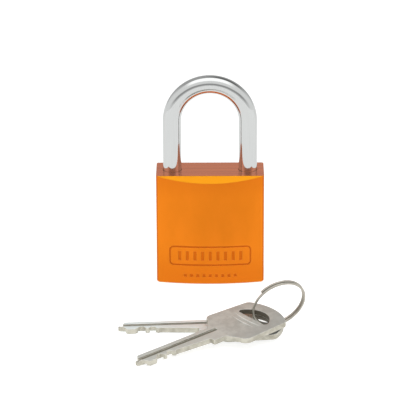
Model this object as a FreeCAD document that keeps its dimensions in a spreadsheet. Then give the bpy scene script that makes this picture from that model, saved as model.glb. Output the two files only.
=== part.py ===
import FreeCAD, Part
import math
import os
import re
import Sketcher

# A 38 mm safety padlock with a keyed pin-tumbler cylinder, and its two keys on a split ring.
# Frame: millimetres, +Z up, crowned front face towards -Y, shackle in the XZ plane.
# The origin is the middle of the body's bottom face. The keys and the ring lie on z = 0.

DIMENSIONS = {
    # body: an extruded block with crowned faces
    "body_width": 38.0, "body_height": 40.0, "body_side_depth": 14.6, "crown_rise": 2.2,
    "corner_round": 1.2, "bottom_chamfer": 0.5, "bevel_reach": 6.0,
    # how far a cutting shape runs on past the face that it cuts
    "overcut": 1.0,
    # engraved panel on the front face
    "engraving_depth": 0.3, "panel_width": 29.0, "panel_height": 7.35, "panel_middle": 10.7,
    "panel_round": 1.6, "panel_line": 0.55, "bar_width": 1.1, "bar_height": 3.4, "bar_pitch": 2.7,
    "tick_size": 1.1, "tick_pitch": 2.2, "tick_middle": 3.3,
    # shackle
    "rod_radius": 3.25, "leg_reach": 13.35, "arch_height": 58.0, "heel_end": 9.5,
    "heel_flange_top": 12.0, "heel_flange_radius": 3.15, "heel_neck_top": 25.5,
    "heel_neck_radius": 2.15, "toe_end": 30.3, "toe_taper": 0.6, "shackle_rise": 10.5,
    # bores in the body
    "leg_bore_radius": 3.35, "heel_bore_floor": 3.0, "toe_bore_floor": 28.3,
    "cavity_radius": 7.05, "cavity_top": 26.0, "tower_cavity_half": 3.55, "tower_reach": 12.5,
    "cam_bore_radius": 6.6, "cam_bore_top": 37.9, "screw_clearance_radius": 1.65,
    # locking balls
    "ball_radius": 2.5, "ball_reach": 8.8, "ball_height": 34.5, "ball_travel": 2.6, "ball_gap": 0.1,
    "ramp_share": 0.7,
    # stop pin across the heel leg's neck
    "stop_pin_radius": 1.2, "stop_pin_height": 24.0, "stop_pin_tip": 11.05, "stop_pin_root": 7.2,
    "stop_pin_gap": 0.02,
    # cylinder housing
    "housing_radius": 7.0, "housing_bottom": 0.3, "tower_half": 3.5, "chamber_radius": 1.42,
    "chamber_start": 5.0, "chamber_length": 12.0, "face_bore_radius": 6.35, "face_depth": 1.2,
    "face_gap": 0.05,
    # cylinder screw
    "screw_head_radius": 2.75, "screw_head_height": 1.7, "screw_radius": 1.45, "screw_end": 22.2,
    "screw_hole_end": 21.9, "tapped_radius": 1.5, "screw_slot_width": 0.8, "screw_slot_depth": 0.9,
    "screw_joint": 0.1,
    # plug
    "plug_radius": 5.75, "plug_bore_radius": 5.8, "plug_top": 27.5, "plug_face_radius": 6.3,
    "groove_bottom": 26.1, "groove_top": 26.9, "groove_radius": 5.2, "groove_gap": 0.05,
    "clip_radius": 6.2, "clip_bore_radius": 5.3, "clip_mouth": 6.0,
    "keyway_width": 2.1, "keyway_spine": 3.6, "keyway_bit": 3.8, "keyway_top": 28.0,
    "tenon_length": 8.0, "tenon_width": 3.0, "tenon_height": 2.0, "tenon_gap": 0.1,
    "tenon_root": 0.5, "pin_hole_start": 0.2, "pin_hole_end": 7.0,
    # cam
    "cam_radius": 6.2, "cam_bottom": 27.8, "cam_step": 31.0, "cam_top": 37.5,
    # pin stacks, the highest one first
    "pin_radius": 1.35, "pin_tip_radius": 0.6, "pin_tip_length": 0.6, "first_pin_height": 19.7,
    "pin_pitch": 3.6, "key_offset": -0.35, "pin_end_gap": 0.02, "driver_start": 5.83,
    "driver_length": 4.0, "pin_spring_radius": 0.95, "pin_spring_wire": 0.15,
    "pin_spring_pitch": 0.65, "pin_spring_start": 10.0, "pin_spring_length": 4.2,
    "chamber_plug_start": 14.45, "chamber_plug_length": 1.15, "chamber_plug_radius": 1.4,
    # shackle spring
    "lift_spring_radius": 2.5, "lift_spring_wire": 0.38, "lift_spring_pitch": 1.05,
    # keys: lengths run from the tip along the blade, widths from its middle line
    "nib_high": 0.9, "nib_low": 0.3, "nib_start_edge": 0.7, "nib_length": 1.9, "nib_step": 1.5,
    "nose_start": 3.2, "nose_end": 5.8, "spine_slant": 0.8, "spine_slant_end": 1.7,
    "spine_start": 2.4, "first_tooth_before": 0.2, "first_tooth_after": 0.4,
    "second_tooth_before": 0.1, "second_tooth_after": 0.3, "second_tooth_extra": 0.2,
    "shoulder_bend": 1.05, "neck_overlap": 1.0,
    "key_thickness": 1.8, "blade_spine": 3.1, "blade_length": 27.5, "first_cut": 8.1,
    "cut_half": 0.5, "nose_edge": 3.0, "first_edge": 0.8, "second_edge": 1.2, "tooth_edge": 2.6,
    "ramp_start": 14.3, "ramp_start_edge": 2.4, "ramp_end_edge": 3.8,
    "collar_end": 32.2, "collar_edge": 5.7, "bow_start": 34.8,
    "bow_middle": -1.2, "bow_shoulder": 11.6, "bow_end": 56.0, "bow_end_rise": 3.0,
    "bow_end_half": 10.6, "bow_round": 2.6, "bow_corner": 2.2,
    "slot_start": 46.3, "slot_end": 52.0, "slot_half": 8.2, "slot_round": 1.2,
    "face_groove_depth": 0.5, "ridge_depth": 0.5, "ridge_gap": 0.2,
    "wide_groove_low": -0.4, "wide_groove_high": 1.4, "narrow_groove_low": -1.9,
    "narrow_groove_high": -0.7, "groove_end": 33.0, "key_rest": 0.13,
    "front_key_x": -24.0, "front_key_y": -82.1, "front_key_yaw": 36.4, "front_key_pitch": 5.3,
    "front_key_roll": 1.0, "rear_key_x": -31.2, "rear_key_y": -52.5, "rear_key_yaw": 0.2,
    "rear_key_pitch": 1.8, "rear_key_roll": 0.0,
    # split ring
    "ring_radius": 9.35, "ring_wire": 0.42, "ring_pitch": 0.95, "ring_turns": 1.72,
    "ring_x": 23.1, "ring_y": -51.0, "ring_z": 9.45, "ring_azimuth": -65.1, "ring_tilt": -22.0,
    "ring_wire_end": 140.0,
}
PIN_COUNT = 5
BAR_COUNT = 9
TICK_COUNT = 9

doc = FreeCAD.newDocument("SafetyPadlock")
sheet = doc.addObject("Spreadsheet::Sheet", "dims")
for row, (alias, number) in enumerate(DIMENSIONS.items(), start=1):
    sheet.set("A%d" % row, alias)
    sheet.set("B%d" % row, str(number))
    sheet.setAlias("B%d" % row, alias)
doc.recompute()

X = FreeCAD.Vector(1, 0, 0)
Y = FreeCAD.Vector(0, 1, 0)
Z = FreeCAD.Vector(0, 0, 1)
UPRIGHT = FreeCAD.Rotation()
ALONG_X = FreeCAD.Rotation(Y, 90)
NODES = []


# ---------------------------------------------------------------- shared helpers

def on_sheet(formula):
    """Turns a formula of aliases into an expression on the sheet."""
    return re.sub(r"[a-z_]+", lambda word: "dims." * (word.group() in DIMENSIONS) + word.group(),
                  str(formula))


def size(formula):
    """The present value of a formula of aliases."""
    return float(doc.getObject("dims").evalExpression(on_sheet(formula)))


def bind(item, prop, formula):
    item.setExpression(prop, on_sheet(formula))


def place(item, at, turn=UPRIGHT):
    """Puts an object at a point given as three formulas, turned by a rotation."""
    item.Placement = FreeCAD.Placement(FreeCAD.Vector(), turn)
    for axis, formula in zip("xyz", at):
        bind(item, "Placement.Base." + axis, formula)


def primitive(kind, at=(0, 0, 0), turn=UPRIGHT, **sizes):
    """A Part primitive whose sizes and place are formulas on the sheet."""
    item = doc.addObject("Part::" + kind, kind.lower())
    for prop, formula in sizes.items():
        bind(item, prop, formula)
    place(item, at, turn)
    return item


def rod(radius, start, end, at=(0, 0), turn=UPRIGHT):
    """An upright cylinder from height start to height end, at (x, y)."""
    return primitive("Cylinder", (at[0], at[1], start), Radius=radius,
                     Height="(%s) - (%s)" % (end, start))


def rod_x(radius, start, end, height):
    """A cylinder along X from start to end, at a height."""
    return primitive("Cylinder", (start, 0, height), ALONG_X, Radius=radius,
                     Height="(%s) - (%s)" % (end, start))


def block(low, high):
    """A box between two corners, each given as three formulas."""
    spans = ["(%s) - (%s)" % pair for pair in zip(high, low)]
    return primitive("Box", low, Length=spans[0], Width=spans[1], Height=spans[2])


def fuse(items):
    joined = doc.addObject("Part::MultiFuse", "fusion")
    joined.Shapes = items
    return joined


def cut(base, tools):
    result = doc.addObject("Part::Cut", "cut")
    result.Base = base
    result.Tool = tools[0] if len(tools) == 1 else fuse(tools)
    return result


def common(items):
    result = doc.addObject("Part::MultiCommon", "common")
    result.Shapes = items
    return result


def node(item, label):
    """Names a finished sub-part."""
    item.Label = label
    NODES.append(item)
    return item


def origin_plane(body, role):
    return [plane for plane in body.Origin.OriginFeatures if plane.Role == role][0]


def arc_through(start, end, radius, centre_side):
    """A short arc between two points; centre_side is +1 with its centre left of the chord."""
    chord = end - start
    reach = math.sqrt(radius ** 2 - (chord.Length / 2) ** 2)
    left = FreeCAD.Vector(-chord.y, chord.x, 0).normalize()
    centre = (start + end) / 2 + left * reach * centre_side
    middle = centre - left * radius * centre_side
    return Part.Arc(start, middle, end)


def outline(body, role, corners, arcs=None):
    """A closed sketch through corners given as (x, y) formulas.

    arcs maps a corner's number to (radius formula, centre side) where the edge that
    leaves it is an arc. Every corner is held by its two distances from the origin.
    """
    arcs = arcs or {}
    sketch = body.newObject("Sketcher::SketchObject", "sketch")
    sketch.AttachmentSupport = [(origin_plane(body, role), "")]
    sketch.MapMode = "FlatFace"
    add_loop(sketch, corners, arcs)
    return sketch


def add_loop(sketch, corners, arcs):
    points = [FreeCAD.Vector(size(x), size(y), 0) for x, y in corners]
    ends = []
    for number, start in enumerate(points):
        end = points[(number + 1) % len(points)]
        if number in arcs:
            radius, centre_side = arcs[number]
            edge = sketch.addGeometry(arc_through(start, end, size(radius), centre_side))
        else:
            edge = sketch.addGeometry(Part.LineSegment(start, end))
        starts_here = (sketch.getPoint(edge, 1) - start).Length < 1e-6
        ends.append((edge, 1, 2) if starts_here else (edge, 2, 1))
    for number, (edge, first, last) in enumerate(ends):
        following, next_first, _ = ends[(number + 1) % len(ends)]
        sketch.addConstraint(Sketcher.Constraint("Coincident", edge, last, following, next_first))
        for kind, formula in zip(("DistanceX", "DistanceY"), corners[number]):
            held = sketch.addConstraint(
                Sketcher.Constraint(kind, -1, 1, edge, first, size(formula)))
            sketch.setExpression("Constraints[%d]" % held, on_sheet(formula))
        if number in arcs:
            held = sketch.addConstraint(Sketcher.Constraint("Radius", edge, size(arcs[number][0])))
            sketch.setExpression("Constraints[%d]" % held, on_sheet(arcs[number][0]))


def rectangle(x, y):
    """Corners of a rectangle centred on the origin, from its half sizes."""
    return [("-(%s)" % x, "-(%s)" % y), (x, "-(%s)" % y), (x, y), ("-(%s)" % x, y)]


def pad(body, sketch, length):
    feature = body.newObject("PartDesign::Pad", "pad")
    feature.Profile = sketch
    bind(feature, "Length", length)
    doc.recompute()
    return feature


def pocket(body, sketch, length=None, reverse=False):
    """Cuts a sketch out of a body: to a depth, or through everything both ways."""
    feature = body.newObject("PartDesign::Pocket", "pocket")
    feature.Profile = sketch
    if length is None:
        feature.Type = "ThroughAll"
        feature.SideType = "Symmetric"
    else:
        bind(feature, "Length", length)
    feature.Reversed = reverse
    before = body.Shape.Volume
    doc.recompute()
    if not body.Shape.Volume < before:
        raise ValueError("a pocket of %s cuts nothing" % body.Label)
    return feature


def dress(body, kind, edges, **sizes):
    """A PartDesign fillet or chamfer on the named edges of the body's last feature."""
    base = body.Tip
    feature = body.newObject("PartDesign::" + kind, kind.lower())
    feature.Base = (base, edges)
    for prop, formula in sizes.items():
        bind(feature, prop, formula)
    doc.recompute()
    return feature


def edges_where(shape, test):
    return ["Edge%d" % number for number, edge in enumerate(shape.Edges, start=1) if test(edge)]


def is_upright(edge):
    return abs(edge.BoundBox.XLength) < 1e-6 and abs(edge.BoundBox.YLength) < 1e-6


def stands_at(edge, x):
    return is_upright(edge) and abs(edge.BoundBox.XMin - x) < 1e-6


def coil(radius, wire, pitch, height, at=(0, 0, 0), turn=UPRIGHT, hand="Right-handed"):
    """A round wire wound in a helix about an axis through a point."""
    spine = doc.addObject("Part::Helix", "helix")
    spine.LocalCoord = hand
    section = doc.addObject("Part::Circle", "circle")
    bind(spine, "Radius", radius)
    bind(spine, "Pitch", pitch)
    bind(spine, "Height", height)
    bind(section, "Radius", wire)
    place(section, (radius, 0, 0), FreeCAD.Rotation(X, 90))
    wound = doc.addObject("Part::Sweep", "sweep")
    wound.Sections = [section]
    wound.Spine = (spine, ["Edge1"])
    wound.Solid = True
    wound.Frenet = True
    doc.recompute()
    place(wound, at, turn)
    return wound


# ---------------------------------------------------------------- lock body

def crown_curve():
    return "(body_width ^ 2 / 4 + crown_rise ^ 2) / (2 * crown_rise)"


def body_blank():
    """The extruded block: flat sides, crowned faces, bevelled top edges."""
    body = doc.addObject("PartDesign::Body", "blank")
    crowned = outline(body, "XY_Plane", rectangle("body_width / 2", "body_side_depth / 2"),
                      {0: (crown_curve(), 1), 2: (crown_curve(), 1)})
    pad(body, crowned, "body_height")
    dress(body, "Fillet", edges_where(body.Shape, is_upright), Radius="corner_round")
    for side in ("-", ""):
        edge = side + "body_side_depth / 2"
        reach = side + "(body_side_depth / 2 + bevel_reach)"
        bevel = outline(body, "YZ_Plane", [(edge, "body_height"), (reach, "body_height"),
                                           (reach, "body_height - bevel_reach")])
        pocket(body, bevel)
    bottom = edges_where(body.Shape, lambda edge: abs(edge.BoundBox.ZMax) < 1e-6)
    dress(body, "Chamfer", bottom, Size="bottom_chamfer")
    return body


def engraving():
    """The cutter for the front face: a rounded frame, plain bars in it, small ticks below."""
    front = "-(body_side_depth / 2 + crown_rise + overcut)"
    frame = doc.addObject("PartDesign::Body", "frame")
    sketch = outline(frame, "XZ_Plane", *rounded_panel("0"))
    add_loop(sketch, *rounded_panel("panel_line"))
    pad(frame, sketch, "body_side_depth / 2 + crown_rise + overcut")
    marks = [frame]
    for number in range(BAR_COUNT):
        middle = "bar_pitch * %g" % (number - (BAR_COUNT - 1) / 2)
        marks.append(block((middle + " - bar_width / 2", front, "panel_middle - bar_height / 2"),
                           (middle + " + bar_width / 2", 0, "panel_middle + bar_height / 2")))
    for number in range(TICK_COUNT):
        middle = "tick_pitch * %g" % (number - (TICK_COUNT - 1) / 2)
        marks.append(block((middle + " - tick_size / 2", front, "tick_middle - tick_size / 2"),
                           (middle + " + tick_size / 2", 0, "tick_middle + tick_size / 2")))
    crown = crown_curve()
    core = rod(crown + " - engraving_depth", "-overcut", "body_height",
               (0, crown + " - body_side_depth / 2 - crown_rise"))
    return cut(fuse(marks), [core])


def rounded_panel(inset):
    """Corners and arcs of the engraved frame's outline, moved inwards by an inset."""
    x = "(panel_width / 2 - %s)" % inset
    y = "(panel_height / 2 - %s)" % inset
    bend = "(panel_round - %s)" % inset
    low = "panel_middle - %s" % y
    high = "panel_middle + %s" % y
    corners = [("-%s + %s" % (x, bend), low), ("%s - %s" % (x, bend), low),
               (x, "%s + %s" % (low, bend)), (x, "%s - %s" % (high, bend)),
               ("%s - %s" % (x, bend), high), ("-%s + %s" % (x, bend), high),
               ("-" + x, "%s - %s" % (high, bend)), ("-" + x, "%s + %s" % (low, bend))]
    return corners, {number: (bend, 1) for number in (1, 3, 5, 7)}


def lock_body():
    bores = [
        rod("cavity_radius", "-overcut", "cavity_top"),
        block((0, "-tower_cavity_half", "-overcut"),
              ("tower_reach", "tower_cavity_half", "cavity_top")),
        rod("tower_cavity_half", "-overcut", "cavity_top", ("tower_reach", 0)),
        rod("cam_bore_radius", "cavity_top", "cam_bore_top"),
        rod("leg_bore_radius", "heel_bore_floor", "body_height + overcut", ("-leg_reach", 0)),
        rod("leg_bore_radius", "toe_bore_floor", "body_height + overcut", ("leg_reach", 0)),
        rod("screw_clearance_radius", "cavity_top - overcut", "toe_bore_floor + overcut",
            ("leg_reach", 0)),
        rod_x("ball_radius + ball_gap", "-leg_reach", "leg_reach", "ball_height"),
        rod_x("stop_pin_radius", "-leg_reach", 0, "stop_pin_height"),
    ]
    return node(cut(body_blank(), bores + [engraving()]), "lock_body")


# ---------------------------------------------------------------- shackle and its lock work

def ball_notch(side):
    """The ramp that a locking ball leaves in a leg while the shackle climbs."""
    slope = math.degrees(math.atan2(size("ball_travel"), size("shackle_rise")))
    reach = "%d * ball_reach" % side
    ball = primitive("Sphere", (reach, 0, "ball_height"), Radius="ball_radius + ball_gap")
    ramp = primitive("Cylinder", (reach, 0, "ball_height"), FreeCAD.Rotation(Y, 180 + side * slope),
                     Radius="ball_radius + ball_gap", Height="shackle_rise * ramp_share")
    return [ball, ramp]


def shackle():
    arch = primitive("Torus", (0, 0, "arch_height"), FreeCAD.Rotation(X, 90),
                     Radius1="leg_reach", Radius2="rod_radius", Angle3=180)
    heel = ("-leg_reach", 0)
    toe = ("leg_reach", 0)
    taper = primitive("Cone", ("leg_reach", 0, "toe_end"), Radius1="rod_radius - toe_taper",
                      Radius2="rod_radius", Height="toe_taper")
    pieces = [
        arch,
        rod("rod_radius", "heel_neck_top", "arch_height", heel),
        rod("heel_neck_radius", "heel_flange_top", "heel_neck_top", heel),
        rod("heel_flange_radius", "heel_end", "heel_flange_top", heel),
        rod("rod_radius", "toe_end + toe_taper", "arch_height", toe),
        taper,
    ]
    return node(cut(fuse(pieces), ball_notch(-1) + ball_notch(1)), "shackle")


def shackle_spring():
    wire = "lift_spring_wire"
    spring = coil("lift_spring_radius", wire, "lift_spring_pitch",
                  "heel_end - heel_bore_floor - 2 * %s" % wire,
                  ("-leg_reach", 0, "heel_bore_floor + %s" % wire))
    return node(spring, "shackle_spring")


def locking_balls():
    for label, side in (("heel_ball", -1), ("toe_ball", 1)):
        ball = primitive("Sphere", ("%d * ball_reach" % side, 0, "ball_height"),
                         Radius="ball_radius")
        node(ball, label)


def stop_pin():
    node(rod_x("stop_pin_radius - stop_pin_gap", "-stop_pin_tip", "-stop_pin_root", "stop_pin_height"),
         "shackle_stop_pin")


def cam():
    """The ball cam: round where it backs the balls, with two pockets that let them in.

    Turning it by an angle moves each ball inwards in proportion, so each flank is the
    inner parallel of the spiral that the ball's centre draws on the cam.
    """
    gap_radius = size("ball_radius + ball_gap")
    outer = size("cam_radius")
    reach = size("ball_reach")
    travel = size("ball_travel")
    low = size("cam_step")

    def flank_point(turned):
        radius = reach - travel * turned / 90
        angle = math.radians(-turned)
        centre = FreeCAD.Vector(radius * math.cos(angle), radius * math.sin(angle), low)
        drift = travel / math.radians(90)
        tangent = FreeCAD.Vector(radius * math.sin(angle) - drift * math.cos(angle),
                                 -radius * math.cos(angle) - drift * math.sin(angle), 0)
        inward = FreeCAD.Vector(-centre.x, -centre.y, 0)
        normal = tangent.normalize().cross(Z)
        if normal.dot(inward) < 0:
            normal = -normal
        return centre + normal * gap_radius

    flank = [flank_point(step * 10) for step in range(10)]
    pocket_middle = FreeCAD.Vector(0, -(reach - travel), low)
    # the pocket ends where its circle meets the cam's own circle
    half_angle = math.degrees(2 * math.asin(gap_radius / (2 * outer)))
    end_angle = math.radians(-90 - half_angle)
    pocket_end = FreeCAD.Vector(outer * math.cos(end_angle), outer * math.sin(end_angle), low)
    outward = (flank[-1] + pocket_end) / 2 - pocket_middle
    pocket_deep = pocket_middle + outward.normalize() * gap_radius
    rim_angle = (end_angle + math.radians(-180)) / 2
    rim_middle = FreeCAD.Vector(outer * math.cos(rim_angle), outer * math.sin(rim_angle), low)
    opposite = FreeCAD.Vector(-flank[0].x, -flank[0].y, low)
    curve = Part.BSplineCurve()
    curve.interpolate(flank)
    half = [curve.toShape(), Part.Arc(flank[-1], pocket_deep, pocket_end).toShape(),
            Part.Arc(pocket_end, rim_middle, opposite).toShape()]
    other_half = []
    for edge in half:
        turned = edge.copy()
        turned.rotate(FreeCAD.Vector(), Z, 180)
        other_half.append(turned)
    lobe_face = Part.Face(Part.Wire(half + other_half))
    lobe = doc.addObject("Part::Feature", "lobe")
    lobe.Shape = lobe_face.extrude(Z * size("cam_top - cam_step"))
    disc = rod("cam_radius", "cam_bottom", "cam_step")
    socket = block(("-tenon_width / 2 - tenon_gap", "-tenon_length / 2 - tenon_gap",
                    "cam_bottom - overcut"),
                   ("tenon_width / 2 + tenon_gap", "tenon_length / 2 + tenon_gap",
                    "plug_top + tenon_height + tenon_gap"))
    return node(cut(fuse([disc, lobe]), [socket]), "cam")


# ---------------------------------------------------------------- cylinder

def pin_height(number):
    return "first_pin_height - %d * pin_pitch" % number


def chambers():
    return [rod_x("chamber_radius", "chamber_start", "chamber_start + chamber_length",
                  pin_height(number)) for number in range(PIN_COUNT)]


def cylinder_housing():
    bottom = "housing_bottom"
    shell = [
        rod("housing_radius", bottom, "cavity_top"),
        block((0, "-tower_half", bottom), ("tower_reach", "tower_half", "cavity_top")),
        rod("tower_half", bottom, "cavity_top", ("tower_reach", 0)),
    ]
    holes = chambers() + [
        rod("plug_bore_radius", "-overcut", "cavity_top + overcut"),
        rod("face_bore_radius", "-overcut", bottom + " + face_depth"),
        rod("tapped_radius", "screw_hole_end", "cavity_top + overcut", ("leg_reach", 0)),
    ]
    return node(cut(fuse(shell), holes), "cylinder_housing")


def cylinder_screw():
    head_top = "toe_bore_floor + screw_head_height"
    screw = fuse([rod("screw_head_radius", "toe_bore_floor", head_top, ("leg_reach", 0)),
                  rod("screw_radius", "screw_end", "toe_bore_floor + screw_joint",
                      ("leg_reach", 0))])
    reach = "(screw_head_radius + overcut)"
    slot = block(("leg_reach - " + reach, "-screw_slot_width / 2", head_top + " - screw_slot_depth"),
                 ("leg_reach + " + reach, "screw_slot_width / 2", head_top + " + overcut"))
    return node(cut(screw, [slot]), "cylinder_screw")


def keyway():
    """The key's slot in the plug, with one ridge on each wall for the grooves of the blade."""
    wall = "keyway_width / 2"
    slot = block(("-keyway_spine", "-" + wall, "-overcut"), ("keyway_bit", wall, "keyway_top"))
    ridges = []
    for low, high, side in (("wide_groove_low", "wide_groove_high", -1),
                            ("narrow_groove_low", "narrow_groove_high", 1)):
        faces = sorted((side * size(wall + " + overcut"), side * size(wall + " - ridge_depth")))
        ridges.append(block(("key_offset - (%s) + ridge_gap" % high, faces[0], "-2 * overcut"),
                            ("key_offset - (%s) - ridge_gap" % low, faces[1],
                             "keyway_top + overcut")))
    return cut(slot, ridges)


def plug():
    bottom = "housing_bottom"
    barrel = [
        rod("plug_radius", bottom, "groove_bottom"),
        rod("groove_radius", "groove_bottom", "groove_top"),
        rod("plug_radius", "groove_top", "plug_top"),
        rod("plug_face_radius", bottom, bottom + " + face_depth - face_gap"),
        block(("-tenon_width / 2", "-tenon_length / 2", "plug_top - tenon_root"),
              ("tenon_width / 2", "tenon_length / 2", "plug_top + tenon_height")),
    ]
    pin_holes = [rod_x("chamber_radius", "pin_hole_start", "pin_hole_end", pin_height(number))
                 for number in range(PIN_COUNT)]
    return node(cut(fuse(barrel), [keyway()] + pin_holes), "plug")


def plug_clip():
    low = "groove_bottom + groove_gap"
    high = "groove_top - groove_gap"
    ring = rod("clip_radius", low, high)
    below = low + " - overcut"
    above = high + " + overcut"
    bore = rod("clip_bore_radius", below, above)
    mouth = block(("-clip_radius - overcut", "-clip_mouth / 2", below),
                  (0, "clip_mouth / 2", above))
    return node(cut(ring, [bore, mouth]), "plug_clip")


def pin_stacks():
    """In each chamber: a key pin on the key's edge, a driver pin, its spring and a plug."""
    slope = "(ramp_end_edge - ramp_start_edge) / (blade_length - ramp_start)"
    ramp = "ramp_start_edge + (first_cut + %d * pin_pitch + pin_tip_radius - ramp_start) * " + slope
    edges = ["first_edge", "second_edge"] + [ramp % number for number in range(2, PIN_COUNT)]
    for number, edge in enumerate(edges):
        height = pin_height(number)
        tip = "key_offset + pin_end_gap + " + edge
        point = primitive("Cone", (tip, 0, height), ALONG_X, Radius1="pin_tip_radius",
                          Radius2="pin_radius", Height="pin_tip_length")
        shank = rod_x("pin_radius", tip + " + pin_tip_length", "plug_radius + overcut", height)
        barrel = rod("plug_radius - pin_end_gap", 0, "plug_top")
        name = number + 1
        node(common([fuse([point, shank]), barrel]), "key_pin_%d" % name)
        node(rod_x("pin_radius", "driver_start", "driver_start + driver_length", height),
             "driver_pin_%d" % name)
        node(coil("pin_spring_radius", "pin_spring_wire", "pin_spring_pitch", "pin_spring_length",
                  ("pin_spring_start", 0, height), ALONG_X), "pin_spring_%d" % name)
        node(rod_x("chamber_plug_radius", "chamber_plug_start",
                   "chamber_plug_start + chamber_plug_length", height), "chamber_plug_%d" % name)


# ---------------------------------------------------------------- keys and ring

def key_corners():
    """The key's outline from the nib at its tip, along the cuts, round the bow and back."""
    nose = "-nose_edge"
    tooth = "-tooth_edge"
    cut_1 = "first_cut"
    cut_2 = "first_cut + pin_pitch"
    low = "bow_middle - %s"
    high = "bow_middle + %s"
    return [
        (0, "nib_high"), (0, "-nib_low"), ("nib_length", "-nib_start_edge"),
        ("nose_start", nose), ("nose_end", nose),
        (cut_1 + " - cut_half", "-first_edge"), (cut_1 + " + cut_half", "-first_edge"),
        (cut_1 + " + pin_pitch / 2 - first_tooth_before", tooth),
        (cut_1 + " + pin_pitch / 2 + first_tooth_after", tooth),
        (cut_2 + " - cut_half", "-second_edge"), (cut_2 + " + cut_half", "-second_edge"),
        (cut_2 + " + pin_pitch / 2 - second_tooth_before", tooth + " - second_tooth_extra"),
        (cut_2 + " + pin_pitch / 2 + second_tooth_after", tooth + " - second_tooth_extra"),
        ("ramp_start", "-ramp_start_edge"), ("blade_length", "-ramp_end_edge"),
        ("blade_length", "-collar_edge"), ("collar_end", "-collar_edge"),
        ("bow_start", low % "bow_shoulder + bow_round"),
        ("bow_start + bow_round", low % "bow_shoulder"),
        ("bow_end - bow_end_rise", low % "bow_end_half"),
        ("bow_end - bow_end_rise", high % "bow_end_half"),
        ("bow_start + bow_round", high % "bow_shoulder"),
        ("bow_start", high % "bow_shoulder - bow_round"),
        ("collar_end - neck_overlap", "blade_spine"), ("spine_start", "blade_spine"),
        ("spine_slant_end", "blade_spine - spine_slant"), ("nib_step", "nib_high"),
    ]


def make_key(label):
    """One flat key, made lying on its face, then laid at its own place."""
    key = doc.addObject("PartDesign::Body", label)
    end_curve = "(bow_end_half ^ 2 + bow_end_rise ^ 2) / (2 * bow_end_rise)"
    shoulder = "bow_round * shoulder_bend"
    blank = outline(key, "XY_Plane", key_corners(),
                    {17: (shoulder, 1), 19: (end_curve, 1), 21: (shoulder, 1)})
    pad(key, blank, "key_thickness")
    corner = size("bow_end - bow_end_rise")
    dress(key, "Fillet", edges_where(key.Shape, lambda edge: stands_at(edge, corner)),
          Radius="bow_corner")
    slot_curve = "(slot_half ^ 2 + (slot_end - slot_start) ^ 2) / (2 * (slot_end - slot_start))"
    slot = outline(key, "XY_Plane", [("slot_start", "bow_middle + slot_half"),
                                     ("slot_start", "bow_middle - slot_half")],
                   {1: (slot_curve, 1)})
    pocket(key, slot)
    corner = size("slot_start")
    dress(key, "Fillet", edges_where(key.Shape, lambda edge: stands_at(edge, corner)),
          Radius="slot_round")
    grooves = (("wide_groove_low", "wide_groove_high", "key_thickness - face_groove_depth"),
               ("narrow_groove_low", "narrow_groove_high", 0))
    for low, high, floor in grooves:
        groove = outline(key, "XY_Plane", [("-overcut", low), ("groove_end", low),
                                           ("groove_end", high), ("-overcut", high)])
        bind(groove, "AttachmentOffset.Base.z", floor)
        pocket(key, groove, "face_groove_depth", reverse=True)
    place(key, (label + "_x", label + "_y", "key_rest"),
          FreeCAD.Rotation(size(label + "_yaw"), -size(label + "_pitch"), size(label + "_roll")))
    return node(key, label)


def split_ring():
    """Nearly two turns of round wire, standing on edge through the slots of both keys."""
    height = "ring_pitch * ring_turns"
    turn = (FreeCAD.Rotation(Z, size("ring_azimuth")) * FreeCAD.Rotation(Y, 90 - size("ring_tilt"))
            * FreeCAD.Rotation(Z, 90 + size("ring_wire_end")))
    axis = turn.multVec(Z)
    base = ["ring_%s - (%s) * (%.6f)" % (name, height + " / 2", part)
            for name, part in zip("xyz", axis)]
    return node(coil("ring_radius", "ring_wire", "ring_pitch", height, base, turn, "Left-handed"),
                "split_ring")


# ---------------------------------------------------------------- the assembly

lock_body()
shackle()
shackle_spring()
locking_balls()
stop_pin()
cylinder_housing()
cylinder_screw()
plug()
cam()
plug_clip()
pin_stacks()
make_key("front_key")
make_key("rear_key")
split_ring()
doc.recompute()

for item in doc.Objects:
    if "Invalid" in item.State or "Error" in item.State:
        raise RuntimeError("%s failed to recompute" % item.Name)
for item in NODES:
    if item.Shape.isNull() or not item.Shape.isValid() or len(item.Shape.Solids) != 1:
        raise RuntimeError("%s is not one valid solid" % item.Label)

os.makedirs("parts", exist_ok=True)
for item in NODES:
    item.Shape.exportStep(os.path.join("parts", item.Label + ".step"))
    box = item.Shape.BoundBox
    print("%-18s %8.1f mm3   x %7.2f %7.2f  y %7.2f %7.2f  z %6.2f %6.2f" % (
        item.Label, item.Shape.Volume, box.XMin, box.XMax, box.YMin, box.YMax, box.ZMin, box.ZMax))
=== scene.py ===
# %% [markdown]
# # A keyed safety padlock with its two keys
#
# The lock is a block of anodised aluminium with a chromed shackle and a brass cylinder. Two
# nickel silver keys lie in front of it on a wire ring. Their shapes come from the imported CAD
# model, which this script loads and never changes. The script adds what CAD doesn't hold:
# the finish of each metal, the pressed lines on the key bows, the light and the camera.
# Everything is in metres, with the origin in the middle of the body's underside.

import math

import bpy
from mathutils import Euler, Matrix, Quaternion, Vector


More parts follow.
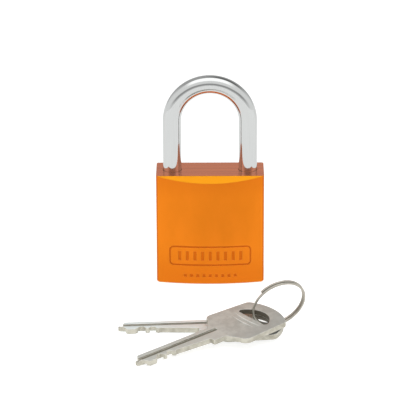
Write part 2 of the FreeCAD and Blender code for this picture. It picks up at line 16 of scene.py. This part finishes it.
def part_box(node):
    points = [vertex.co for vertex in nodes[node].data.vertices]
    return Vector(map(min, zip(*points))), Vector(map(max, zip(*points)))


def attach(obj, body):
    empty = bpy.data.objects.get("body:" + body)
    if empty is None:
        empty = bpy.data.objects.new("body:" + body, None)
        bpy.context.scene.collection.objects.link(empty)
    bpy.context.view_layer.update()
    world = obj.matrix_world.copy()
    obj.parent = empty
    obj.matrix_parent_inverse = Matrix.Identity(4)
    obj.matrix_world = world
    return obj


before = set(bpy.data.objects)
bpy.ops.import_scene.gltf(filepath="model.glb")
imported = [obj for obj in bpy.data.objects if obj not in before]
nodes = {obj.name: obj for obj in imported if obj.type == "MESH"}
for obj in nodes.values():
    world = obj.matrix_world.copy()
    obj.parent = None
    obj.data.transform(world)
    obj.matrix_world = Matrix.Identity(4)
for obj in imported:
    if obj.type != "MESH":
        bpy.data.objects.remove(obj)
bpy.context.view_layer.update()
MM = 0.001

# %% [markdown]
# ## Camera
#
# A small product is usually shot from a metre or so away with a long lens, so that its
# upright edges stay almost parallel. A camera close by with a wide lens would show the same
# object with a swollen front. The camera is turned by azimuth and elevation about a point
# inside the object, then rolled a little about its own axis.

# %% Camera
AIM = Vector((-0.00006, 0.0, 0.02463))
CAMERA_DISTANCE = 0.9
LENS_MM, SENSOR_MM = 217.01, 36.0
azimuth, elevation, roll = (math.radians(angle) for angle in (0.057, 20.03, -0.167))
towards_camera = Vector((math.sin(azimuth) * math.cos(elevation),
                         -math.cos(azimuth) * math.cos(elevation),
                         math.sin(elevation)))
camera = bpy.data.objects.new("camera", bpy.data.cameras.new("camera"))
bpy.context.scene.collection.objects.link(camera)
camera.data.lens = LENS_MM
camera.data.sensor_width = SENSOR_MM
camera.location = AIM + towards_camera * CAMERA_DISTANCE
camera.rotation_mode = "QUATERNION"
camera.rotation_quaternion = ((-towards_camera).to_track_quat("-Z", "Y")
                              @ Quaternion((0, 0, 1), roll))
bpy.context.scene.camera = camera
bpy.context.scene.view_settings.view_transform = "Standard"
print("camera at", [round(value, 3) for value in camera.location])

# %% [markdown]
# ## A small language for shaders
#
# A finish is a formula: this much grain, less of it where a face was milled, and so on.
# Blender holds such a formula as a web of nodes, which is slow to read in code. A Signal
# wraps the output of one node and lets Python's own operators add the next node, so the
# formula stays a formula. A Finish is one material, and its method node adds any other
# kind of node.

# %% Signal and Finish
class Signal:
    """The output of a shader node. Arithmetic on it adds the Math node that does the same."""

    def __init__(self, finish, socket):
        self.finish = finish
        self.socket = socket

    def maths(self, operation, *values):
        settings = {"operation": operation}
        return self.finish.node("ShaderNodeMath", settings, dict(enumerate(values)))

    def __add__(self, other):
        return self.maths("ADD", self, other)

    def __radd__(self, other):
        return self.maths("ADD", other, self)

    def __sub__(self, other):
        return self.maths("SUBTRACT", self, other)

    def __rsub__(self, other):
        return self.maths("SUBTRACT", other, self)

    def __mul__(self, other):
        return self.maths("MULTIPLY", self, other)

    def __rmul__(self, other):
        return self.maths("MULTIPLY", other, self)

    def __truediv__(self, other):
        return self.maths("DIVIDE", self, other)

    def __rtruediv__(self, other):
        return self.maths("DIVIDE", other, self)

    def __pow__(self, other):
        return self.maths("POWER", self, other)

    def __abs__(self):
        return self.maths("ABSOLUTE", self)

    def step(self, low, high):
        """0 up to low, 1 from high, and a smooth rise between. It falls if low is above high."""
        return self.finish.node("ShaderNodeMapRange", {"interpolation_type": "SMOOTHSTEP"},
                                {"Value": self, "From Min": low, "From Max": high})


class Finish:
    """One material's node tree."""

    def __init__(self, owner):
        owner.use_nodes = True
        self.tree = owner.node_tree
        self.tree.nodes.clear()

    def node(self, kind, settings=None, inputs=None, output=0):
        """Adds a node: first its settings, then the values or links of its sockets."""
        made = self.tree.nodes.new(kind)
        for name, value in (settings or {}).items():
            setattr(made, name, value)
        for key, value in (inputs or {}).items():
            if isinstance(value, Signal):
                self.tree.links.new(value.socket, made.inputs[key])
            else:
                made.inputs[key].default_value = value
        return Signal(self, made.outputs[output]) if len(made.outputs) else None

    def place(self):
        """Where on the piece a point is, in metres."""
        return self.node("ShaderNodeTexCoord", output="Object")

    def facing(self):
        """Which way the surface faces, in the piece's own frame."""
        return self.node("ShaderNodeTexCoord", output="Normal")

    def parts(self, vector):
        """The x, y and z of a vector."""
        split = self.node("ShaderNodeSeparateXYZ", None, {0: vector}).socket.node
        return [Signal(self, output) for output in split.outputs]

    def scaled(self, vector, factors):
        return self.node("ShaderNodeVectorMath", {"operation": "MULTIPLY"},
                         {0: vector, 1: factors})

    def mix(self, share, first, second):
        """A colour between two."""
        return self.node("ShaderNodeMix", {"data_type": "RGBA"},
                         {0: share, 6: first, 7: second}, output=2)

    def grain(self, vector, scale, detail=3.0, rough=0.55):
        """Noise from about 0.25 to 0.75 over a stretched place."""
        return self.node("ShaderNodeTexNoise", None,
                         {"Vector": vector, "Scale": scale, "Detail": detail,
                          "Roughness": rough})

    def lines(self, along, scale, detail=2.0):
        """Noise that varies along one number only, which draws lines across it."""
        return self.node("ShaderNodeTexNoise", {"noise_dimensions": "1D"},
                         {"W": along, "Scale": scale, "Detail": detail})

    def relief(self, height, distance, strength=1.0, normal=None):
        """A normal that follows a height given from 0 to 1, distance metres tall."""
        inputs = {"Height": height, "Distance": distance, "Strength": strength}
        if normal is not None:
            inputs["Normal"] = normal
        return self.node("ShaderNodeBump", None, inputs)

    def worn_edge(self, radius):
        """The normal with its edges rounded, and a mask that is 1 along those edges."""
        soft = self.node("ShaderNodeBevel", {"samples": 6}, {"Radius": radius})
        true = self.node("ShaderNodeNewGeometry", output="Normal")
        aligned = self.node("ShaderNodeVectorMath", {"operation": "DOT_PRODUCT"},
                            {0: soft, 1: true}, output="Value")
        return soft, (1.0 - aligned).step(0.005, 0.12)

    def surface(self, **inputs):
        """The Principled shader and the output."""
        named = {name.replace("_", " ").title().replace("Ior", "IOR"): value
                 for name, value in inputs.items()}
        shader = self.node("ShaderNodeBsdfPrincipled", None, named)
        self.node("ShaderNodeOutputMaterial", None, {"Surface": shader})


def colour(red, green, blue):
    return (red, green, blue, 1.0)


def new_finish(name):
    material = bpy.data.materials.new(name)
    return material, Finish(material)


def give(material, *names):
    """Puts a material on CAD nodes."""
    for name in names:
        for slot in nodes[name].material_slots:
            slot.material = material
    print(material.name, "on", ", ".join(names))


print("Signal does the arithmetic, Finish holds one material")

# %% [markdown]
# ## Anodised aluminium body
#
# The body is cut from an extruded bar. Its crowned front and back keep the satin skin that
# the etch before anodising leaves. Its top and underside were milled across, and show fine
# cutter lines from side to side. Paint would be a coloured plastic with a clear coat. Dye
# sits in a clear layer on the metal instead, so the colour is that of a tinted mirror:
# Metallic is 1 and the orange goes in the base colour. Shade is painted into that orange: it
# is deeper in the engraving, round the rounded upright corners and towards the top and the
# bottom of the faces. The sloped bevel is painted a yellower tone as a highlight, and a sharp
# edge holds less dye.

# %% Body finish
CROWN_RISE = 2.2 * MM  # how far the middle of the front stands ahead of its upright edges
ENGRAVED_AREA = 16 * MM  # the engraving lies below this height and within this of the middle
MASK_FADE = 0.5 * MM


def body_finish():
    material, finish = new_finish("orange_anodised_aluminium")
    low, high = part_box("lock_body")
    place, facing = finish.place(), finish.facing()
    x, y, z = finish.parts(place)
    facing_side, _, facing_up = finish.parts(facing)
    milled = abs(facing_up).step(0.9, 0.97)
    # painted shade: the rounded upright corners are painted a deeper orange
    corner_painted_shade = abs(facing_side).step(0.4, 0.7) * abs(facing_side).step(0.995, 0.97)

    half_width = (high.x - low.x) / 2
    crown_radius = (half_width ** 2 + CROWN_RISE ** 2) / (2 * CROWN_RISE)
    from_axis = (x * x + (abs(y) + (crown_radius - high.y)) ** 2) ** 0.5
    # painted shade: the recessed engraving is painted a deeper orange
    engraving_painted_shade = (crown_radius - from_axis).step(0.05 * MM, 0.2 * MM) * (1 - milled)
    engraving_painted_shade = engraving_painted_shade * abs(x).step(ENGRAVED_AREA, ENGRAVED_AREA - MASK_FADE)
    engraving_painted_shade = engraving_painted_shade * z.step(ENGRAVED_AREA, ENGRAVED_AREA - MASK_FADE)

    cutter = finish.grain(finish.scaled(place, (25, 2600, 1)), 1.0, 4.0, 0.7)
    etch = finish.grain(place, 5200, 2.0)
    cloud = finish.grain(finish.scaled(place, (1, 1, 0.5)), 90, 3.0)
    die = finish.grain(finish.scaled(place, (2400, 2400, 6)), 1.0, 2.0)

    soft, edge = finish.worn_edge(0.35 * MM)
    dye = finish.mix(cloud.step(0.3, 0.7), colour(0.73, 0.207, 0.0115),
                     colour(0.79, 0.228, 0.0140))
    # painted shade: the orange is painted deeper towards the top and the bottom of the faces
    top_painted_shade, bottom_painted_shade = z.step(31 * MM, 39 * MM), z.step(15 * MM, 2 * MM)
    dye = finish.mix(top_painted_shade * 0.6, dye, colour(0.66, 0.172, 0.0100))
    dye = finish.mix(bottom_painted_shade * 0.7, dye, colour(0.66, 0.172, 0.0105))
    # painted highlight: the sloped bevel is painted a yellower orange, standing in for the
    # bright light it mirrors
    bevel_painted_highlight = abs(facing_up).step(0.3, 0.5) * (1 - milled)
    dye = finish.mix(bevel_painted_highlight * 0.8, dye, colour(0.70, 0.300, 0.0110))
    dye = finish.mix(corner_painted_shade * 0.6, dye, colour(0.44, 0.105, 0.0070))
    dye = finish.mix(engraving_painted_shade * 0.6, dye, colour(0.56, 0.105, 0.005))
    passes = finish.grain(finish.scaled(place, (6, 600, 1)), 1.0, 2.0)
    streaks = 0.5 * cutter.step(0.35, 0.65) + 0.5 * passes.step(0.35, 0.65)
    streaked = finish.mix(streaks, colour(0.58, 0.106, 0.007), colour(0.90, 0.198, 0.019))
    dye = finish.mix(milled, dye, streaked)
    dye = finish.mix(edge * 0.35, dye, colour(0.93, 0.36, 0.05))

    rough = 0.46 + 0.08 * etch + 0.06 * cloud - 0.37 * milled + 0.10 * milled * cutter
    height = etch * 0.5 + die * 0.5 * (1 - milled)
    normal = finish.relief(height, 0.0035 * MM, 0.5, soft)
    normal = finish.relief(cutter * milled, 0.004 * MM, 0.5, normal)
    finish.surface(base_color=dye, metallic=1.0, roughness=rough, normal=normal,
                   coat_weight=0.28 * milled, coat_roughness=0.12, coat_ior=1.5)
    return material


give(body_finish(), "lock_body")

# %% [markdown]
# ## Chromed shackle
#
# The shackle is a hardened rod, bent, polished along its length and chromed. Chrome is a
# bright neutral metal that gives back a little more than half of the light. What makes it
# look real is what it mirrors, so its own texture stays faint: polishing lines along the
# legs, a slight waviness from the bend, and rubbed rings where it slides in the body.

# %% Shackle finish
def chrome_finish():
    material, finish = new_finish("polished_chrome")
    place = finish.place()
    x, y, z = finish.parts(place)
    polish = finish.grain(finish.scaled(place, (5200, 5200, 90)), 1.0, 3.0)
    waves = finish.grain(place, 160, 1.0)
    specks = finish.grain(place, 1900, 2.0).step(0.66, 0.74)
    rubbed = z.step(41 * MM, 39.5 * MM) * finish.lines(z, 1500).step(0.35, 0.65)
    rough = 0.05 + 0.05 * polish + 0.10 * rubbed + 0.08 * specks
    tint = finish.mix(polish.step(0.3, 0.7), colour(0.490, 0.500, 0.495),
                      colour(0.515, 0.525, 0.520))
    tint = finish.mix(rubbed * 0.5, tint, colour(0.50, 0.50, 0.50))
    bend = z.step(50 * MM, 58 * MM)
    normal = finish.relief(waves * bend, 0.09 * MM, 0.8)
    normal = finish.relief(polish, 0.0004 * MM, 0.5, normal)
    finish.surface(base_color=tint, metallic=1.0, roughness=rough, normal=normal)
    return material


give(chrome_finish(), "shackle")

# %% [markdown]
# ## Turned brass and steel
#
# The cylinder, the plug and the pins were turned on a lathe. A lathe leaves rings about its
# axis: across a flat end they are circles, and along a side they are hoops. One number, the
# distance from the axis plus the distance along it, draws both, because on an end face only
# the first changes and on a side only the second.

# %% Turned finishes
def turned_finish(name, dark, light, along_x=False, height=0.0, rough=0.2):
    """Metal turned about the upright axis, or about an axis along X at a height."""
    material, finish = new_finish(name)
    place = finish.place()
    x, y, z = finish.parts(place)
    if along_x:
        radius, along = (y * y + (z - height) ** 2) ** 0.5, x
    else:
        radius, along = (x * x + y * y) ** 0.5, z
    rings = finish.lines(radius + along, 9000, 3.0)
    broad = finish.lines(radius + along, 1400, 1.0)
    cloud = finish.grain(place, 420, 3.0)
    soft, edge = finish.worn_edge(0.15 * MM)
    tint = finish.mix(cloud.step(0.3, 0.7) * 0.6 + rings * 0.4, dark, light)
    tint = finish.mix(edge * 0.5, tint, colour(*(min(1.0, part * 1.2) for part in light[:3])))
    normal = finish.relief(rings * 0.6 + broad * 0.4, 0.006 * MM, 0.7, soft)
    finish.surface(base_color=tint, metallic=1.0,
                   roughness=rough + 0.12 * cloud + 0.06 * rings, normal=normal)
    return material


cylinder_brass = turned_finish("turned_cylinder_brass", colour(0.55, 0.37, 0.14),
                               colour(0.80, 0.61, 0.30))
give(cylinder_brass, "cylinder_housing", "plug")
bright_steel = turned_finish("turned_steel", colour(0.42, 0.42, 0.41), colour(0.62, 0.62, 0.60))
give(bright_steel, "cam", "plug_clip", "cylinder_screw")

# %% [markdown]
# ## Pins, balls and springs
#
# Each pin lies on its side in its chamber, so its lathe rings run about an axis along X at
# the height of that chamber, and one finish made for the whole stack would put them in the
# wrong place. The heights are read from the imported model, and each stack gets its own copy
# of the same finish. The balls are ground and tumbled, and the springs are drawn wire: both
# have a fine grain with dull spots and no rings.

# %% Pins, balls and springs
def stack_heights():
    """The five pin stacks and the height of each one's axis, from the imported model."""
    rows = []
    for number in range(1, 6):
        low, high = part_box("driver_pin_%d" % number)
        rows.append((number, (low.z + high.z) / 2))
    return rows


for number, height in stack_heights():
    pin_brass = turned_finish("turned_pin_brass_%d" % number, colour(0.60, 0.43, 0.18),
                              colour(0.84, 0.66, 0.36), True, height, 0.16)
    give(pin_brass, "key_pin_%d" % number, "driver_pin_%d" % number,
         "chamber_plug_%d" % number)

stop_low, stop_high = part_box("shackle_stop_pin")
give(turned_finish("ground_steel_pin", colour(0.45, 0.45, 0.44), colour(0.66, 0.66, 0.64),
                   True, (stop_low.z + stop_high.z) / 2, 0.14), "shackle_stop_pin")


def wire_finish(name, dark, light, spots=0.3, rough=0.22):
    """Drawn wire or a tumbled ball: fine grain, with dull spots where it was handled."""
    material, finish = new_finish(name)
    place = finish.place()
    drawn = finish.grain(place, 9000, 3.0, 0.6)
    cloud = finish.grain(place, 500, 3.0)
    worn = cloud.step(0.45, 0.65) * spots
    tint = finish.mix(drawn.step(0.3, 0.7), dark, light)
    tint = finish.mix(worn, tint, dark)
    normal = finish.relief(drawn, 0.0015 * MM, 0.4)
    finish.surface(base_color=tint, metallic=1.0, roughness=rough + 0.2 * worn + 0.06 * drawn,
                   normal=normal)
    return material


give(wire_finish("hardened_balls", colour(0.50, 0.50, 0.50), colour(0.68, 0.68, 0.67),
                 0.2, 0.08), "heel_ball", "toe_ball")
give(wire_finish("spring_wire", colour(0.30, 0.30, 0.31), colour(0.52, 0.52, 0.53)),
     "shackle_spring", *["pin_spring_%d" % number for number in range(1, 6)])

# %% [markdown]
# ## Nickel silver keys
#
# A key is stamped from strip, milled along its blade and tumbled smooth. Carried in a
# pocket, it loses its polish: the flat faces go a soft warm grey with scratches in every
# direction, and the edges stay bright. Shade is painted dark into the grooves and the ring
# slot, and the pressed beads get a painted highlight. An image wrapped round the key would
# do this too, but only at one scale. The pattern is worked out from lengths instead, so it
# has to sit on the key as it lies: the shader first undoes the key's own turn and shift, and
# then works in lengths along the blade, across it and up from its underside. The blades are
# painted in tones that cancel the orange light the body reflects onto them, and the rear
# key's blade is painted much brighter.

# %% Where each key lies
KEY_PLACES = {
    "front_key": (Vector((-24.0, -82.1, 0.13)) * MM, (1.0, -5.3, 36.4)),
    "rear_key": (Vector((-31.2, -52.5, 0.13)) * MM, (0.0, -1.8, 0.2)),
}


# painted light: blade tones lean away from orange to cancel the body's orange reflection, and
# the rear one is painted much brighter
BLADE_PAINTED_TONES = {"front_key": colour(0.57, 0.575, 0.53), "rear_key": colour(0.86, 0.94, 0.94)}


def key_turn(name):
    return Euler([math.radians(angle) for angle in KEY_PLACES[name][1]], "XYZ")


for name, (shift, angles) in KEY_PLACES.items():
    print(name, "lies at", [round(value, 4) for value in shift], "turned by", angles)

# %% Key finish
# lengths from the tip along the key and up from its underside, in its own frame
KEY_THICKNESS = 1.8 * MM
BOW_MIDDLE = -1.2 * MM
NIB_END, BLADE_END = 2.4 * MM, 33 * MM
SLOT_START, SLOT_END, SLOT_HALF = 46 * MM, 52.2 * MM, 8.4 * MM


def key_finish(name):
    material, finish = new_finish(name + "_nickel_silver")
    place = finish.node("ShaderNodeMapping", {"vector_type": "TEXTURE"},
                        {"Vector": finish.place(), "Location": KEY_PLACES[name][0],
                         "Rotation": key_turn(name)})
    x, y, z = finish.parts(place)
    blade = x.step(BLADE_END + 0.2 * MM, BLADE_END - 0.2 * MM)
    top_face = z.step(KEY_THICKNESS - 0.10 * MM, KEY_THICKNESS - 0.02 * MM)
    bottom_face = z.step(0.10 * MM, 0.02 * MM)
    face = top_face + bottom_face
    _, _, facing_up = finish.parts(finish.facing())
    # painted shade: the groove floors in the blade are painted dark
    groove_painted_shade = blade * (1 - face) * abs(facing_up).step(0.5, 0.7)
    groove_painted_shade = groove_painted_shade * x.step(NIB_END, NIB_END + 0.4 * MM)

    fine = finish.grain(finish.scaled(place, (500, 6000, 6000)), 1.0, 4.0, 0.65)
    cross = finish.grain(finish.scaled(place, (5000, 350, 900)), 1.0, 3.0, 0.6)
    cloud = finish.grain(place, 260, 4.0, 0.6)
    tumble = finish.grain(place, 2200, 3.0)
    scratch = cross.step(0.62, 0.70) * 0.6 + fine.step(0.62, 0.72) * 0.4

    # painted shade: the walls of the ring slot are painted almost black
    slot_painted_shade = x.step(SLOT_START - 0.1 * MM, SLOT_START + 0.2 * MM)
    slot_painted_shade = slot_painted_shade * x.step(SLOT_END + 0.1 * MM, SLOT_END - 0.1 * MM)
    slot_painted_shade = slot_painted_shade * abs(y - BOW_MIDDLE).step(SLOT_HALF + 0.1 * MM, SLOT_HALF - 0.1 * MM)
    slot_painted_shade = slot_painted_shade * (1 - face)

    soft, edge = finish.worn_edge(0.22 * MM)
    grey = finish.mix(cloud.step(0.35, 0.65), colour(0.43, 0.435, 0.40),
                      colour(0.54, 0.55, 0.51))
    sides = finish.mix(cloud.step(0.35, 0.65), colour(0.38, 0.36, 0.295),
                       colour(0.56, 0.54, 0.46))
    tint = finish.mix(face, sides, grey)
    tint = finish.mix(blade * face * 0.7, tint, BLADE_PAINTED_TONES[name])
    tint = finish.mix(groove_painted_shade * 0.9, tint, colour(0.18, 0.16, 0.12))
    belly = face * y.step(-4 * MM, -9 * MM) * (1 - blade)
    tint = finish.mix(belly * 0.5, tint, colour(0.38, 0.38, 0.355))
    tint = finish.mix(scratch * 0.4, tint, colour(0.72, 0.71, 0.66))
    # painted highlight: the raised beads are painted lighter
    bead_painted_highlight = z.step(KEY_THICKNESS + 0.04 * MM, KEY_THICKNESS + 0.14 * MM)
    bead_painted_highlight = bead_painted_highlight + z.step(-0.04 * MM, -0.14 * MM)
    tint = finish.mix(edge * (1 - slot_painted_shade) * 0.6, tint, colour(0.80, 0.79, 0.74))
    tint = finish.mix(bead_painted_highlight * 0.7, tint, colour(0.80, 0.79, 0.75))
    tint = finish.mix(slot_painted_shade * 0.85, tint, colour(0.10, 0.08, 0.055))

    rough = 0.44 + 0.10 * cloud - 0.14 * edge + 0.06 * tumble
    normal = finish.relief(tumble * 0.6 + cloud * 0.4, 0.012 * MM, 0.5, soft)
    normal = finish.relief(1 - scratch, 0.004 * MM, 0.6, normal)
    finish.surface(base_color=tint, metallic=0.5, roughness=rough, normal=normal)
    return material


key_metal = {name: key_finish(name) for name in KEY_PLACES}
for name, metal in key_metal.items():
    give(metal, name)

# %% [markdown]
# ## Pressed lines on the bows
#
# Beside the slot each bow carries two raised lines that follow the slot's curve. A bump in
# the shader would draw them, but it leaves the outline flat. They stand a fifth of a
# millimetre proud, so they are made as real beads, and light runs along them as the key
# turns. Each one is a low half-round strip that fades out at its ends, sunk a little into
# the face.

# %% Bead builder
BEAD_RISE, BEAD_SINK = 0.22 * MM, 0.03 * MM
FADE_POWER = 0.35  # below 1 the bead keeps its width for most of its length


def bead_mesh(name, centre, radius, start, end, half_width, face_z, side):
    """A half-round strip along an arc of a key's face, standing proud on the side given."""
    STEPS, AROUND = 40, 8
    points, faces = [], []
    for step in range(STEPS + 1):
        share = step / STEPS
        angle = math.radians(start + (end - start) * share)
        fade = max(0.02, math.sin(math.pi * share)) ** FADE_POWER
        for turn in range(AROUND + 1):
            across = math.pi * turn / AROUND
            reach = radius + half_width * fade * math.cos(across)
            height = face_z + side * (BEAD_RISE * fade * math.sin(across) - BEAD_SINK)
            points.append((centre[0] + reach * math.cos(angle),
                           centre[1] + reach * math.sin(angle), height))
    ring = AROUND + 1
    for step in range(STEPS):
        for turn in range(AROUND):
            first = step * ring + turn
            faces.append((first, first + 1, first + ring + 1, first + ring))
        faces.append((step * ring, (step + 1) * ring, (step + 1) * ring + AROUND,
                      step * ring + AROUND))
    faces.append(tuple(range(ring)))
    faces.append(tuple(STEPS * ring + turn for turn in range(ring)))
    mesh = bpy.data.meshes.new(name)
    mesh.from_pydata(points, [], faces)
    mesh.validate()
    return mesh


# %% Beads on both keys
# how far along the key each line's middle is, its half length and its half width
BEADS = (("inner_line", 44.2, 7.0, 0.30), ("outer_line", 42.3, 5.6, 0.26))
BEND = 40 * MM  # the radius of the arc
for key in KEY_PLACES:
    shift, turn = KEY_PLACES[key][0], key_turn(key)
    on_key = Matrix.Translation(shift) @ turn.to_matrix().to_4x4()
    for label, middle, half_length, half_width in BEADS:
        centre = (middle * MM + BEND, BOW_MIDDLE)
        spread = math.degrees(half_length * MM / BEND)
        for side, face_z, outward in (("upper", KEY_THICKNESS, 1), ("lower", 0.0, -1)):
            name = "_".join((key, side, label))
            mesh = bead_mesh(name, centre, BEND, 180 - spread, 180 + spread,
                             half_width * MM, face_z, outward)
            bead = bpy.data.objects.new(name, mesh)
            bpy.context.scene.collection.objects.link(bead)
            mesh.transform(on_key)
            mesh.shade_smooth()
            mesh.materials.append(key_metal[key])
            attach(bead, key + "_body")
print(len(KEY_PLACES) * len(BEADS) * 2, "beads")

# %% [markdown]
# ## Split ring
#
# The ring is hard wire, nickel plated and wound nearly twice round. A plain grey metal would
# look new, so the same drawn wire finish as the springs' is used, in a warm tone a little
# darker than the keys, and dull where the keys slide on it.

# %% Ring finish
give(wire_finish("ring_wire", colour(0.33, 0.31, 0.265), colour(0.48, 0.455, 0.40), 0.4, 0.28),
     "split_ring")

# %% [markdown]
# ## Floor and light
#
# The setting is a plain white table, lit a little from below as product tables are so that
# no hard shadow forms, in a soft white room. A polished rod shows its whole
# surroundings, so the room matters more than any lamp. Here the room itself gives the
# light, in long bands that run from side to side: a bright canopy overhead, a paler wall in
# front, and a dimmer strip low in front and high behind. Those strips draw the thin lines
# on the arch, and the canopy lights the sloped bevel above the front face. Towards its two
# sides every band melts into one even tone, so that the lines thin out round the arch's
# shoulders. Lamps with hard edges could do the same, but each would leave its own spot on
# the chrome.

# %% Floor
def floor_finish():
    material, finish = new_finish("white_table")
    place = finish.place()
    grain = finish.grain(place, 40, 3.0)
    _, back, _ = finish.parts(place)
    near = finish.mix(grain, colour(0.55, 0.55, 0.55), colour(0.57, 0.57, 0.57))
    # painted shade: the table is painted darker towards the back
    tint = finish.mix(back.step(-0.05, 0.22), near, colour(0.40, 0.40, 0.40))
    finish.surface(base_color=tint, roughness=0.7, specular_ior_level=0.2,
                   emission_color=colour(1.0, 1.0, 1.0), emission_strength=0.70)
    return material


FLOOR_HALF = 4.0
FLOOR_HEIGHT = -0.03 * MM  # just under the object, so the two surfaces never coincide
floor_mesh = bpy.data.meshes.new("table")
floor_mesh.from_pydata([(x * FLOOR_HALF, y * FLOOR_HALF, FLOOR_HEIGHT)
                        for x, y in ((-1, -1), (1, -1), (1, 1), (-1, 1))], [], [(0, 1, 2, 3)])
floor = bpy.data.objects.new("table", floor_mesh)
bpy.context.scene.collection.objects.link(floor)
floor_mesh.materials.append(floor_finish())
print("table", 2 * FLOOR_HALF, "m across")

# %% Room
# Angles are in degrees, turned up from the front horizon over the top to the back.
# Sideways is 0 in the middle of the room, -1 at its left wall and 1 at its right wall.
LOW_FRONT, STRIP, FRONT_WALL = 0.95, 0.48, 1.2
CANOPY, BACK_WALL, SIDES = 2.0, 0.60, 1.2
BACK_STRIP_LOSS = 0.38
room = bpy.data.worlds.new("room")
bpy.context.scene.world = room
air = Finish(room)
sideways, ahead, up = air.parts(air.node("ShaderNodeTexCoord", output="Generated"))
turned = up.maths("ARCTAN2", up, 0 - ahead) * (180 / math.pi)
under_canopy = turned.step(57, 64) * turned.step(107, 101) * abs(sideways).step(0.72, 0.45)
back_strip = turned.step(103, 110) * turned.step(150, 135) * sideways.step(-0.25, 0.35)
front_strip = turned.step(3, 12) * turned.step(33, 20)
level = LOW_FRONT + (FRONT_WALL - LOW_FRONT) * turned.step(20, 30)
level = level + (BACK_WALL - FRONT_WALL) * turned.step(100, 110)
level = level + (STRIP - LOW_FRONT) * front_strip
level = level - BACK_STRIP_LOSS * back_strip
level = level + (CANOPY - FRONT_WALL) * under_canopy
level = SIDES + (level - SIDES) * abs(sideways).step(0.97, 0.60)
background = air.node("ShaderNodeBackground", None, {"Color": colour(1.0, 1.0, 1.0),
                                                     "Strength": level})
air.node("ShaderNodeOutputWorld", None, {"Surface": background})
print("room light from", BACK_WALL, "behind to", CANOPY, "overhead")
